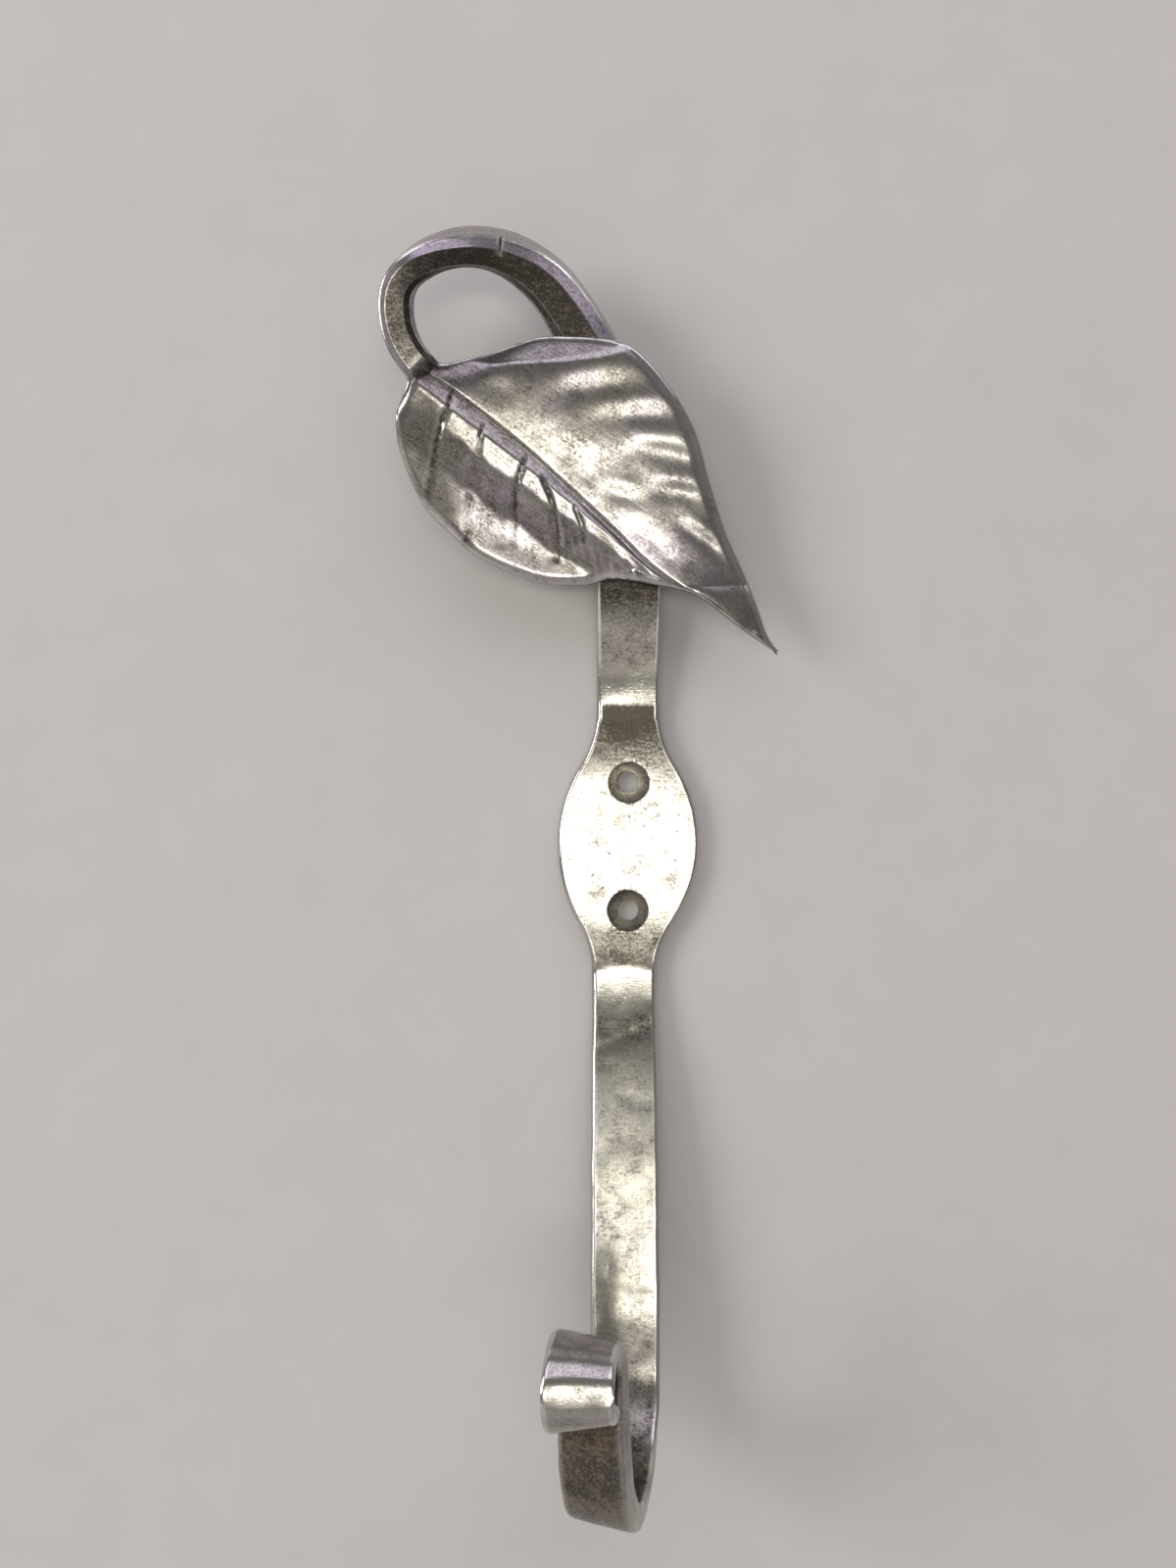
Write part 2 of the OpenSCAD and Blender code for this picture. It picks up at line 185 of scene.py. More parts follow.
class Place:
    """A point on the bar with its directions along, across and out."""

    def __init__(self, point, along, across, out):
        self.point, self.along, self.across, self.out = point, along, across, out

    def straight(self, d):
        return Place(self.point + self.along * d, self.along, self.across, self.out)

    def bent(self, r, turn, skew):
        axis = self.across * math.cos(skew) + self.out * math.sin(skew)
        inward = self.out * math.cos(skew) - self.across * math.sin(skew)
        c, s = math.cos(turn), math.sin(turn)
        swung = inward * c - self.along * s
        return Place(
            self.point + (inward * (1 - c) + self.along * s) * (r * math.copysign(1, turn)),
            self.along * c + inward * s,
            axis * math.cos(skew) - swung * math.sin(skew),
            axis * math.sin(skew) + swung * math.cos(skew),
        )

    def spot(self, u, w, ahead=0.0):
        return self.point + self.across * u + self.out * w + self.along * ahead


def leg_length(leg):
    return leg[0] if leg[1] == 0 else leg[0] * abs(leg[1])


def walk(start, legs, step):
    """Stations (distance, place) along a chain of straights and bends."""
    found, s, here = [], 0.0, start
    for leg in legs:
        n = max(1, math.ceil(leg_length(leg) / step))
        for k in range(n):
            share = k / n
            at = here.straight(leg[0] * share) if leg[1] == 0 else here.bent(leg[0], leg[1] * share, leg[2])
            found.append((s + leg_length(leg) * share, at))
        s += leg_length(leg)
        here = here.straight(leg[0]) if leg[1] == 0 else here.bent(*leg)
    found.append((s, here))
    return found


def total(legs, upto):
    return sum(leg_length(leg) for leg in legs[:upto])


# ---------------------------------------------------------------- one ring of the forging
# Columns over the front and the back, and the angles of those round each side
FRONT = 107
BACK = 23
SIDE = (72, 52, 28, 0, -28, -52, -72)
COLUMNS = [math.copysign(abs(t) ** 1.25, t) for t in (2 * i / (FRONT - 1) - 1 for i in range(FRONT))]
BACK_COLUMNS = [1 - 2 * i / (BACK - 1) for i in range(BACK)]
PLATE_ROWS = 62
LOOP_FROM = 70  # distance from the plate's middle, in millimetres, at which the loop's faces begin
UP, SIDEWAYS, OUT = Vector((0, 0, 1)), Vector((1, 0, 0)), Vector((0, -1, 0))


def section(low, high, middle, corner, surface):
    """Points (u, w, ahead) once round; surface(v) gives height, half-thickness and the forward slant."""

    def at(v, inset):
        edge = (high if v > 0 else low) - math.copysign(inset, v)
        return middle + (edge - middle) * abs(v)

    def side(v, angles):
        mid, half, slant = surface(v)
        r = min(corner, half * 0.9)
        u0 = (high if v > 0 else low) - math.copysign(r, v)
        made = []
        for a in angles:
            c, s = math.cos(math.radians(a)), math.sin(math.radians(a))
            u = u0 + math.copysign(r * c, v)
            w = math.copysign(half - r, s) * (1 if a else 0) + r * s
            made.append((u, mid + w, abs(u - middle) * slant))
        return made

    ring = []
    for v in COLUMNS:
        mid, half, slant = surface(v)
        u = at(v, min(corner, half * 0.9))
        ring.append((u, mid + half, abs(u - middle) * slant))
    ring += side(1.0, SIDE)
    for v in BACK_COLUMNS:
        mid, half, slant = surface(v)
        u = at(v, min(corner, half * 0.9))
        ring.append((u, mid - half, abs(u - middle) * slant))
    ring += side(-1.0, SIDE[::-1])
    return ring


def plate_half(plate, neck_w, z):
    """Half the plate's width at height z: the oval swell, its fillets or the straight bar."""
    swell, waist = plate.swell, plate.waist
    blend_dx = swell + waist - (plate.width - neck_w) / 2
    blend_dz = math.sqrt((swell + waist) ** 2 - blend_dx**2)
    d = abs(z - plate.mid)
    if d < blend_dz * swell / (swell + waist):
        return plate.width / 2 - swell + math.sqrt(swell**2 - d * d)
    if d < blend_dz:
        return neck_w / 2 + waist - math.sqrt(waist**2 - (blend_dz - d) ** 2)
    return neck_w / 2


def plate_shift(plate, z):
    return -plate.drift * ease((plate.mid - z) / (plate.mid + plate.bottom))


# ---------------------------------------------------------------- the forging's shape
# Edges of the leaf, as shares of its length and then of the upper half's reach or the lower half's
UPPER_EDGE = [
    (-0.036, 0.12), (0, 0.12), (0.04, 0.25), (0.075, 0.39), (0.13, 0.64), (0.18, 0.77), (0.27, 0.94),
    (0.33, 0.98), (0.44, 0.93), (0.54, 0.82), (0.64, 0.62), (0.74, 0.43), (0.84, 0.28), (0.9, 0.18),
    (0.96, 0.07), (1, 0.03),
]
LOWER_EDGE = [
    (-0.036, 0.165), (-0.024, 0.24), (-0.008, 0.45), (0.014, 0.57), (0.042, 0.68), (0.095, 0.82),
    (0.17, 0.96), (0.25, 1), (0.33, 1.01), (0.42, 0.93), (0.5, 0.8), (0.565, 0.59), (0.6, 0.4),
    (0.7, 0.17), (0.78, 0.04), (0.9, 0.02), (1, -0.01),
]
# The leaf's tables below are in millimetres.
# Soft folds of the upper half: both ends (x, z), half-width and height, then the bow of the line
FOLDS = [
    (-14.5, 86.6, 2.5, 88.6, 2.1, 0.13, 0.6),
    (-6.5, 81.8, 12.0, 82.8, 1.7, 0.11, 0.5),
    (-0.5, 76.4, 16.5, 73.4, 1.7, 0.12, 0.8),
    (4.0, 68.9, 16.5, 67.0, 1.6, 0.11, 0.4),
    (10.0, 62.6, 20.0, 55.6, 1.3, 0.1, 0.3),
    (-5.0, 68.8, 3.0, 66.4, 1.4, 0.08, 0.2),
    (-19.0, 80.5, -2.0, 71.5, 2.6, 0.07, -0.5),
    (-2.0, 63.0, 9.0, 57.5, 2.0, 0.06, 0.3),
    (-30.0, 88.5, -20.0, 86.5, 2.0, 0.07, 0.0),
]
# Chisel lines of the lower half: the points (x, z) of each, then its half-width and depth
VEINS = [
    ([(-33.0, 85.6), (-33.8, 82.0), (-35.1, 79.6), (-36.3, 75.1), (-37.3, 70.6), (-38.6, 64.0)], 0.4, 0.36),
    ([(-27.3, 79.4), (-27.9, 76.9), (-28.3, 73.6)], 0.38, 0.34),
    ([(-19.3, 73.6), (-20.4, 70.6), (-21.1, 68.3), (-21.5, 65.9), (-21.6, 63.1), (-22.0, 57.0)], 0.4, 0.36),
    ([(-16.6, 70.0), (-14.9, 66.1), (-14.0, 62.8), (-13.4, 59.6), (-13.8, 54.0)], 0.38, 0.32),
    ([(-30.0, 66.0), (-30.8, 60.0), (-31.4, 56.5)], 0.42, 0.28),
    ([(-24.1, 61.8), (-24.4, 56.8)], 0.42, 0.2),
    ([(-10.4, 64.6), (-9.0, 61.0), (-8.6, 57.5)], 0.42, 0.2),
]
# Line of the crease beside the rib, as offsets at distances along the leaf
RIB_LINE = [
    (-3, 0), (0, -0.3), (19, -0.5), (32, 0.15), (44, 1.05), (53, 1.9), (60, 1.5), (70, 0.2), (83, -0.6),
]
# Crease below the rolled top margin, as heights z at places x
MARGIN = [(-34, 95), (-27, 90.6), (-21.3, 90.6), (-9.7, 91.5), (-1.5, 93.2), (2.5, 96)]
# Marks struck across the bar: both ends (sideways, along), half-width and depth
DENTS = [
    (-6.8, 16.0, 6.8, 11.5, 0.9, 0.16), (-5.5, 12.6, 1.5, 11.4, 1.2, 0.1), (-2.0, 24.5, 6.5, 26.5, 1.6, 0.08),
    (-6.5, 35.0, 2.0, 33.0, 2.0, 0.07), (-1.5, 45.0, 6.5, 47.5, 1.8, 0.07), (-6.5, 60.5, 6.5, 62.0, 1.0, 0.1),
]
# Bends of the loop, from the shoulder to the leaf: centre-line radius and turn in degrees
LOOP_BENDS = [(67.6, 37), (21, 27.7), (17.1, 70.4), (8.3, 39.6), (15.6, 57)]
BEND = 78 * MM  # radius of the bends above and below the plate
LOBE = 3 * MM  # length over which the stem spreads into the leaf
FAN = 30 * MM  # length over which the leaf's rows swing round to the run of its veins
SWEEP = math.radians(50)  # how far they swing

# Relief of the leaf, in millimetres
CREASE_WIDE, CREASE_DEEP = 0.5, 0.24
DROOP = 1.55  # fall of the upper half towards its edge
MARGIN_SLOPE = 0.5  # slope of the rolled margin
UPPER_ROLL, LOWER_ROLL = 0.3, 0.22  # rounding down at the edges
FLANK, CREST = 3.1, 6.0  # where the rib's flank and the flat beside it end
DISH, FLARE, LOBES = 1.4, 0.42, 0.38  # hollow of the lower half, rise of its rim and its waves
VEIN_LIP = 0.12  # share of a chisel line's depth that stands up beside it


def near_line(x, z, line, bow=0.0):
    """Signed distance above a line's stretch, the place along it and its length."""
    x0, z0, x1, z1 = line[:4]
    dx, dz = x1 - x0, z1 - z0
    run = math.hypot(dx, dz)
    t = ((x - x0) * dx + (z - z0) * dz) / run
    n = ((z - z0) * dx - (x - x0) * dz) / run
    return n - bow * (1 - (2 * t / run - 1) ** 2), t, run


def near_path(x, z, points):
    """Signed distance from a bent line and the share of the way along it."""
    best, share, gone = 1e9, 0.0, 0.0
    whole = sum(math.dist(a, b) for a, b in zip(points, points[1:]))
    for a, b in zip(points, points[1:]):
        n, t, run = near_line(x, z, (*a, *b))
        past = max(-t, t - run, 0.0)
        away = math.hypot(n, past)
        if away < abs(best):
            best, share = math.copysign(away, n), (gone + min(max(t, 0), run)) / whole
        gone += run
    return best, share


class Forging:
    def __init__(self, scene):
        self.plate, self.loop = scene.hook_plate, scene.hook_loop
        self.leaf, self.bar = scene.hook_leaf, scene.hook_bar
        self.upper = [(BEND, self.loop.lean, 0), (self.loop.neck, 0, 0)]
        self.upper += [(radius * MM, math.radians(turn), math.pi / 2) for radius, turn in LOOP_BENDS]
        self.s_neck, self.s_shoulder = total(self.upper, 2), total(self.upper, 3)
        self.s_crown = total(self.upper, 5) - leg_length(self.upper[4]) / 2
        self.s_stem, self.s_leaf = total(self.upper, 6), total(self.upper, 7)
        bar = self.bar
        self.lower = [
            (BEND, bar.lean, 0), (bar.length, 0, 0), (bar.hook_r, bar.hook_turn, bar.hook_skew),
            (bar.leg, 0, 0), (bar.curl_r, -bar.curl_turn / 2, bar.curl_skew),
            (bar.curl_end, -bar.curl_turn / 2, bar.curl_skew),
        ]
        self.s_bar, self.s_leg, self.s_curl = (total(self.lower, n) for n in (2, 3, 4))
        self.s_end = total(self.lower, 6)
        self.low_half = [
            (0, bar.top_w / 2),
            (self.s_bar / 2, bar.width / 2),
            (self.s_bar, bar.width / 2),
            (self.s_leg, bar.leg_w / 2),
            (self.s_curl, bar.leg_w / 2),
            ((self.s_curl + self.s_end) / 2, bar.curl_w / 2),
            (self.s_end, bar.curl_w / 2),
        ]
        self.low_thick = [
            (0, self.plate.thick),
            (36 * MM, bar.thick),
            (self.s_bar - 26 * MM, bar.thick),
            (self.s_bar - 10 * MM, bar.thick + 0.15 * MM),
            (self.s_bar, bar.thick - 0.25 * MM),
            (self.s_leg, bar.thick),
            (self.s_curl, bar.thick - 0.6 * MM),
            (self.s_end, bar.curl_t),
        ]
        loop = self.loop
        self.half = [
            (0, loop.neck_w / 2),
            (self.s_neck, loop.neck_w / 2),
            (self.s_shoulder, loop.shoulder_w / 2),
            (self.s_crown, loop.crown_w / 2),
            (self.s_stem, loop.stem_w / 2),
            (self.s_leaf, loop.stem_w / 2),
        ]
        self.thick = [
            (0, self.plate.thick),
            (34 * MM, loop.neck_t),
            (self.s_neck, loop.neck_t),
            (self.s_shoulder, loop.shoulder_t),
            (self.s_crown, loop.crown_t),
            (self.s_stem, loop.stem_t),
            (self.s_leaf, loop.stem_t),
        ]
        self.rolls = [
            (0, 0),
            (self.s_neck, 0),
            (self.s_shoulder, loop.shoulder_roll),
            (self.s_crown, loop.crown_roll),
            (self.s_stem, 0),
            (self.s_leaf, 0),
        ]

    # -------- edges and lift of the upper part
    def spread(self, s):
        return ease((s - self.s_leaf + LOBE) / LOBE)

    def high(self, s):
        leaf = curve(UPPER_EDGE, (s - self.s_leaf) / self.leaf.length) * self.leaf.reach
        return -mix(curve(self.half, s), leaf, self.spread(s))

    def low(self, s):
        leaf = curve(LOWER_EDGE, (s - self.s_leaf) / self.leaf.length) * self.leaf.belly
        return mix(curve(self.half, s), leaf, self.spread(s))

    def rib(self, s):
        line = curve(RIB_LINE, (s - self.s_leaf) / MM) * MM * self.spread(s)
        a, b = self.high(s), self.low(s)
        return min(line, b - min(0.8 * MM, (b - a) / 4))

    def lift(self, s):
        base = (min(curve(self.thick, s), self.loop.neck_t) - self.plate.thick) / 2
        return base + self.loop.lift * ease((s - self.s_shoulder) / (self.s_stem - self.s_shoulder))

    def sweep(self, s):
        return SWEEP * ease((s - self.s_leaf) / FAN)

    def reach(self, s, upper):
        r, slant, lo, hi = self.rib(s), math.tan(self.sweep(s)), 0.0, 2 * self.leaf.reach
        for _ in range(22):
            m = (lo + hi) / 2
            edge = self.high(s + m * slant) if upper else self.low(s + m * slant)
            lo, hi = (m, hi) if abs(edge - r) > m else (lo, m)
        return lo

    # -------- relief of the leaf's middle surface, in millimetres
    def upper_relief(self, q, x, z, fade):
        h = -DROOP * q**1.6 * fade
        for *line, wide, high, bow in FOLDS:
            n, t, run = near_line(x, z, line, bow)
            span = math.exp(-1.6 * abs(2 * t / run - 1) ** 3)
            h += high * n / wide * math.exp(0.5 - 0.5 * (n / wide) ** 2) * span
        above = z - curve(MARGIN, x)
        h -= MARGIN_SLOPE * max(above, 0) * ease(above / 0.9 + 0.2) * ease((4 - x) / 5)
        return h - UPPER_ROLL * ease((q - 0.94) / 0.08) * fade

    def lower_relief(self, along, q, mm, x, z, fade, run_out):
        f = self.leaf
        taper = ease((f.length * 0.8 - along) / (f.length * 0.75)) * 0.75 + 0.25
        top = CREST * taper + 0.8 * noise.noise(Vector((along / (2.2 * MM), 0, 1.3)))
        flank = FLANK * taper
        inland = ease((x + 37) / 9)
        crest = f.rib_h / MM * taper * run_out
        h = crest * (1.4 * ease(mm / flank) + 0.045 * max(mm - flank, 0))
        dish = 0.45 * crest + DISH * fade * inland + 0.2
        h -= dish * ease((mm - top) / 7.5) * ease(along / (6 * MM) + 0.4)
        h -= 0.12 * max(mm - 3.5, 0) * (1 - inland)
        h += FLARE * ease((q - 0.72) / 0.34) * fade * inland
        h -= LOWER_ROLL * ease((q - 0.95) / 0.07) * fade
        waves = noise.noise(Vector((along / (4.6 * MM), 0.8 * q, 3.7)))
        h += LOBES * waves * ease(q * 1.6 - 0.2) * fade
        for points, wide, deep in VEINS:
            n, share = near_path(x, z, points)
            if abs(n) < 4:
                inside = deep * ease(share * 12 + 0.1) * (1 - 0.45 * share)
                h -= inside * math.exp(-((n / wide) ** 2))
                h += inside * VEIN_LIP * math.exp(-(((n - 1.0) / 0.9) ** 2))
        return h

    def relief(self, along, upper, q, d, spot):
        """Lift, in metres, at a distance along the leaf and at d from the rib, a share q of the half."""
        f = self.leaf
        fade = ease((f.length - along) / (f.length / 3))
        run_out = ease((f.length * 0.8 - along) / (10 * MM)) * ease((along + 3 * MM) / (3 * MM))
        x, z, mm = spot.x / MM, spot.z / MM, d / MM
        if upper:
            h = self.upper_relief(q, x, z, fade)
        else:
            h = self.lower_relief(along, q, mm, x, z, fade, run_out)
        return (h - CREASE_DEEP * math.exp(-((mm / CREASE_WIDE) ** 2)) * run_out) * MM

    # -------- rings
    def upper_ring(self, s, at):
        """One ring of the neck, loop, stem or leaf, at distance s and place at."""
        share, rib, thick = self.spread(s), self.rib(s), curve(self.thick, s)
        along, lift, slant = s - self.s_leaf, self.lift(s), math.tan(self.sweep(s))
        bevel = min(self.loop.bevel, thick / 4) * ease((s - 30 * MM) / (16 * MM))
        bevel_from = 0.62
        if s >= self.s_leaf:
            ends = {up: self.reach(s, up) for up in (True, False)}
        else:
            ends = {True: abs(self.high(s) - rib), False: abs(self.low(s) - rib)}

        def surface(v):
            up, q = v < 0, abs(v)
            d = q * ends[up]
            bar = thick / 2 - bevel * max(0, q - bevel_from) / (1 - bevel_from)
            half = mix(bar, mix(self.leaf.thick, self.leaf.edge_t, q) / 2, share)
            height = 0.0
            if share > 0:
                spot = at.spot(rib + math.copysign(d, v), lift, d * slant)
                height = share * self.relief(along, up, q, d, spot)
            return height, half, slant

        corner = mix(mix(0.9 * MM, 0.45 * MM, ease(s / (30 * MM))), self.leaf.edge_t * 0.42, share)
        ring = section(rib - ends[True], rib + ends[False], rib, corner, surface)
        roll = curve(self.rolls, s)
        c, n = math.cos(roll), math.sin(roll)
        return [at.spot(u * c - w * n, u * n + w * c + lift, ahead) for u, w, ahead in ring]

    def lower_ring(self, s, at):
        """One ring of the bar, hook or curl."""
        half, thick = curve(self.low_half, s), curve(self.low_thick, s)
        uneven = 0.5 + 0.5 * noise.noise(Vector((s / (7 * MM), 2.1, 0)))
        half -= 0.28 * MM * uneven * ease(s / (6 * MM))
        rise = (thick - self.plate.thick) / 2
        crown = 0.12 * MM

        def surface(v):
            struck = 0.0
            for *line, wide, deep in DENTS:
                n, past, run = near_line(v * half / MM, s / MM, line)
                ends = ease(past / 1.5 + 0.5) * ease((run - past) / 1.5 + 0.5)
                struck += deep * math.exp(-((n / wide) ** 2)) * ends
            return 0.0, thick / 2 - crown * v * v - struck * MM, 0.0

        ring = section(-half, half, 0.0, min(1.0 * MM, thick * 0.35), surface)
        return [at.spot(u, w + rise) for u, w, _ in ring]

    def plate_ring(self, z):
        plate = self.plate
        half, thick = plate_half(plate, self.loop.neck_w, z), plate.thick
        at = Place(Vector((plate_shift(plate, z), -thick / 2, z)), UP, SIDEWAYS, OUT)
        ring = section(-half, half, 0.0, 0.7 * MM, lambda v: (0.0, thick / 2, 0.0))
        return [at.spot(u, w) for u, w, _ in ring]

    def rings(self):
        """All rings from the curl's end to the leaf's tip, each with its distance and its share of leaf."""
        plate, step = self.plate, 1.1 * MM
        middle = -plate.thick / 2
        foot = Vector((-plate.drift, middle, -plate.bottom))
        low = walk(Place(foot, -UP, SIDEWAYS, OUT), self.lower, step)
        made = [(-s - plate.bottom, 0.0, self.lower_ring(s, at)) for s, at in reversed(low)]
        for i in range(1, PLATE_ROWS):
            z = mix(-plate.bottom, plate.top, i / PLATE_ROWS)
            made.append((z, 0.0, self.plate_ring(z)))
        head = Vector((0, middle, plate.top))
        high = walk(Place(head, UP, SIDEWAYS, OUT), self.upper, step)
        for s, at in high:
            if s < self.s_leaf - LOBE - 0.5 * MM:
                made.append((s + plate.top, 0.0, self.upper_ring(s, at)))
        stem, end = self.upper[-1][0], high[-1][1]
        tip = self.leaf.length - 0.1 * MM
        rows, x = [], -LOBE
        while x < self.leaf.length - 0.2 * MM:
            rows.append(x)
            x += 0.3 * MM if x < 2 * MM else 0.5 * MM
        for x in (*rows, tip):
            at = end.straight(x)
            if x < 0:
                c, s = math.cos(x / stem), math.sin(x / stem)
                back = end.across * c + end.along * s
                hub = end.point - end.across * stem
                at = Place(hub + back * stem, end.along * c - end.across * s, back, end.out)
            s = self.s_leaf + x
            made.append((s + plate.top, self.spread(s), self.upper_ring(s, at)))
        return made


def skin(rings):
    """A grid laid out ring by ring, closed round and at both ends."""
    bm = bmesh.new()
    rows, columns = len(rings) - 1, len(rings[0][2])
    bmesh.ops.create_grid(bm, x_segments=rows, y_segments=columns, size=1.0)
    # run is the distance along and leafy the share of leaf; the others mark sides of the loop and corners.
    # The finish darkens the loop's inner side as patina and painted shade, lightens and tints its outer side
    # as a painted lilac reflection, and lightens the corners as scuffing and painted highlight.
    run, leafy, inner, outer, edge = (
        bm.verts.layers.float.new(name) for name in ("run", "leafy", "inner", "outer", "edge")
    )
    corners = (0, 1.0), (1, 0.5), (FRONT - 2, 0.5), (FRONT - 1, 1.0), (FRONT, 1.0), (FRONT + 1, 0.4)
    worn_and_glinting = dict((*corners, (columns - 2, 0.4), (columns - 1, 1.0)))
    for v in bm.verts:
        i, j = round((v.co.x + 1) / 2 * rows), round((v.co.y + 1) / 2 * columns)
        v[run], v[leafy] = rings[i][0] / MM, rings[i][1]
        loop = ease((rings[i][0] / MM - LOOP_FROM) / 12) * (1 - rings[i][1])
        v[inner] = loop if j % columns > columns - len(SIDE) - 1 else 0
        v[outer] = loop if 0.8 * FRONT < j % columns < FRONT + len(SIDE) else 0
        v[edge] = worn_and_glinting.get(j % columns, 0)
        v.co = rings[i][2][j % columns]
    bmesh.ops.remove_doubles(bm, verts=bm.verts, dist=1e-7)
    bmesh.ops.holes_fill(bm, edges=[e for e in bm.edges if e.is_boundary], sides=0)
    bmesh.ops.recalc_face_normals(bm, faces=bm.faces)
    return bm


def hammered(bm, depth, seed):
    """Presses shallow dents and uneven edges into the skin, always inward."""
    bm.normal_update()
    shift = Vector((seed * 1.7, seed * 0.9, seed * 2.3))
    leafy = bm.verts.layers.float["leafy"]
    moves = []
    for v in bm.verts:
        p = v.co / MM
        broad = 0.5 + 0.5 * noise.noise(p * 0.16 + shift)
        cells = noise.voronoi(p * 0.22 + shift)[0]
        dents = 1 - min(cells[0] * 1.6, 1.0)
        grain = 0.5 + 0.5 * noise.noise(p * 1.1 + shift)
        k = mix(mix(0.3, 1.0, ease((abs(p.z) - 22) / 12)), 0.45, v[leafy])
        moves.append(v.normal * (-depth * k * (0.45 * broad + 0.5 * dents * dents + 0.06 * grain)))
    for v, m in zip(bm.verts, moves):
        v.co += m
        v.co.y = min(v.co.y, -0.01 * MM)


def flattened(bm, first, last, tilt, depth):
    """Flattens the foremost strip of one stretch of the bar, as if it were struck there."""
    run = bm.verts.layers.float["run"]
    out = Vector((0, -math.cos(tilt), math.sin(tilt)))
    struck = [v for v in bm.verts if first < v[run] < last]
    limit = max(v.co.dot(out) for v in struck) - depth
    for v in struck:
        over = v.co.dot(out) - limit
        if over > 0:
            v.co -= out * over * 0.8


def new_object(name, bm):
    mesh = bpy.data.meshes.new(name)
    bm.to_mesh(mesh)
    bm.free()
    made = bpy.data.objects.new(name, mesh)
    bpy.context.scene.collection.objects.link(made)
    return made


def hole_cutter(name, z, p, slip):
    """Through hole, countersink and the clearance in front of it, as one turned shape."""
    bm = bmesh.new()
    depth = (p.sink - p.hole) / 2
    behind, front = MM, -p.thick - 2 * MM
    outline = [
        (0, behind), (p.hole / 2, behind), (p.hole / 2, -p.thick + depth),
        (p.sink / 2, -p.thick), (p.sink / 2 + 0.15 * MM, front), (0, front),
    ]
    verts = [bm.verts.new((x, y, 0)) for x, y in outline]
    edges = [bm.edges.new(pair) for pair in zip(verts, verts[1:])]
    bmesh.ops.spin(
        bm, geom=verts + edges, cent=(0, 0, 0), axis=(0, 1, 0), angle=2 * math.pi, steps=72, use_merge=True
    )
    bmesh.ops.remove_doubles(bm, verts=bm.verts, dist=1e-7)
    bmesh.ops.recalc_face_normals(bm, faces=bm.faces)
    for v in bm.verts:
        if v.co.xz.length > p.hole / 2 + 0.1 * MM:
            v.co += slip
    bmesh.ops.translate(bm, verts=bm.verts, vec=(0, 0, z))
    return new_object(name, bm)


def crack(piece, x, z):
    """Opens a fine forging crack across the bar where it is first met at (x, z)."""
    hit, place = piece.ray_cast((x, -200 * MM, z), (0, 1, 0))[:2]
    if not hit:
        raise RuntimeError("the bar isn't met where its crack should be")
    bm = bmesh.new()
    bmesh.ops.create_cube(bm, size=MM)
    bmesh.ops.scale(bm, vec=(0.32, 1.3, 5.2), verts=bm.verts)
    for v in bm.verts:
        v.co.x *= 1.0 if v.co.y < 0 else 0.25
    long = [e for e in bm.edges if abs(e.verts[0].co.z - e.verts[1].co.z) > MM]
    bmesh.ops.subdivide_edges(bm, edges=long, cuts=5)
    for v in bm.verts:
        v.co.x += 0.22 * MM * noise.noise(Vector((0, 0, v.co.z / MM * 1.7)))
    bmesh.ops.rotate(bm, verts=bm.verts, matrix=Matrix.Rotation(math.radians(4), 3, "Y"))
    bmesh.ops.translate(bm, verts=bm.verts, vec=place)
    cut(piece, new_object("crack", bm))


def cut(piece, cutter):
    change = piece.modifiers.new("cut", "BOOLEAN")
    change.operation, change.object, change.solver = "DIFFERENCE", cutter, "MANIFOLD"
    with bpy.context.temp_override(object=piece, active_object=piece, selected_objects=[piece]):
        bpy.ops.object.modifier_apply(modifier=change.name)
    mesh = cutter.data
    bpy.data.objects.remove(cutter)
    bpy.data.meshes.remove(mesh)


def chiselled(x, z):
    """How near each point lies to one of the chisel lines, from 0 to 1."""
    near = np.zeros(len(x))
    for points, wide, deep in VEINS:
        for (x0, z0), (x1, z1) in zip(points, points[1:]):
            dx, dz = x1 - x0, z1 - z0
            t = np.clip(((x - x0) * dx + (z - z0) * dz) / (dx * dx + dz * dz), 0, 1)
            away = np.hypot(x - x0 - t * dx, z - z0 - t * dz)
            near = np.maximum(near, deep / 0.36 * np.exp(-((away / wide / 0.8) ** 2)))
    return near


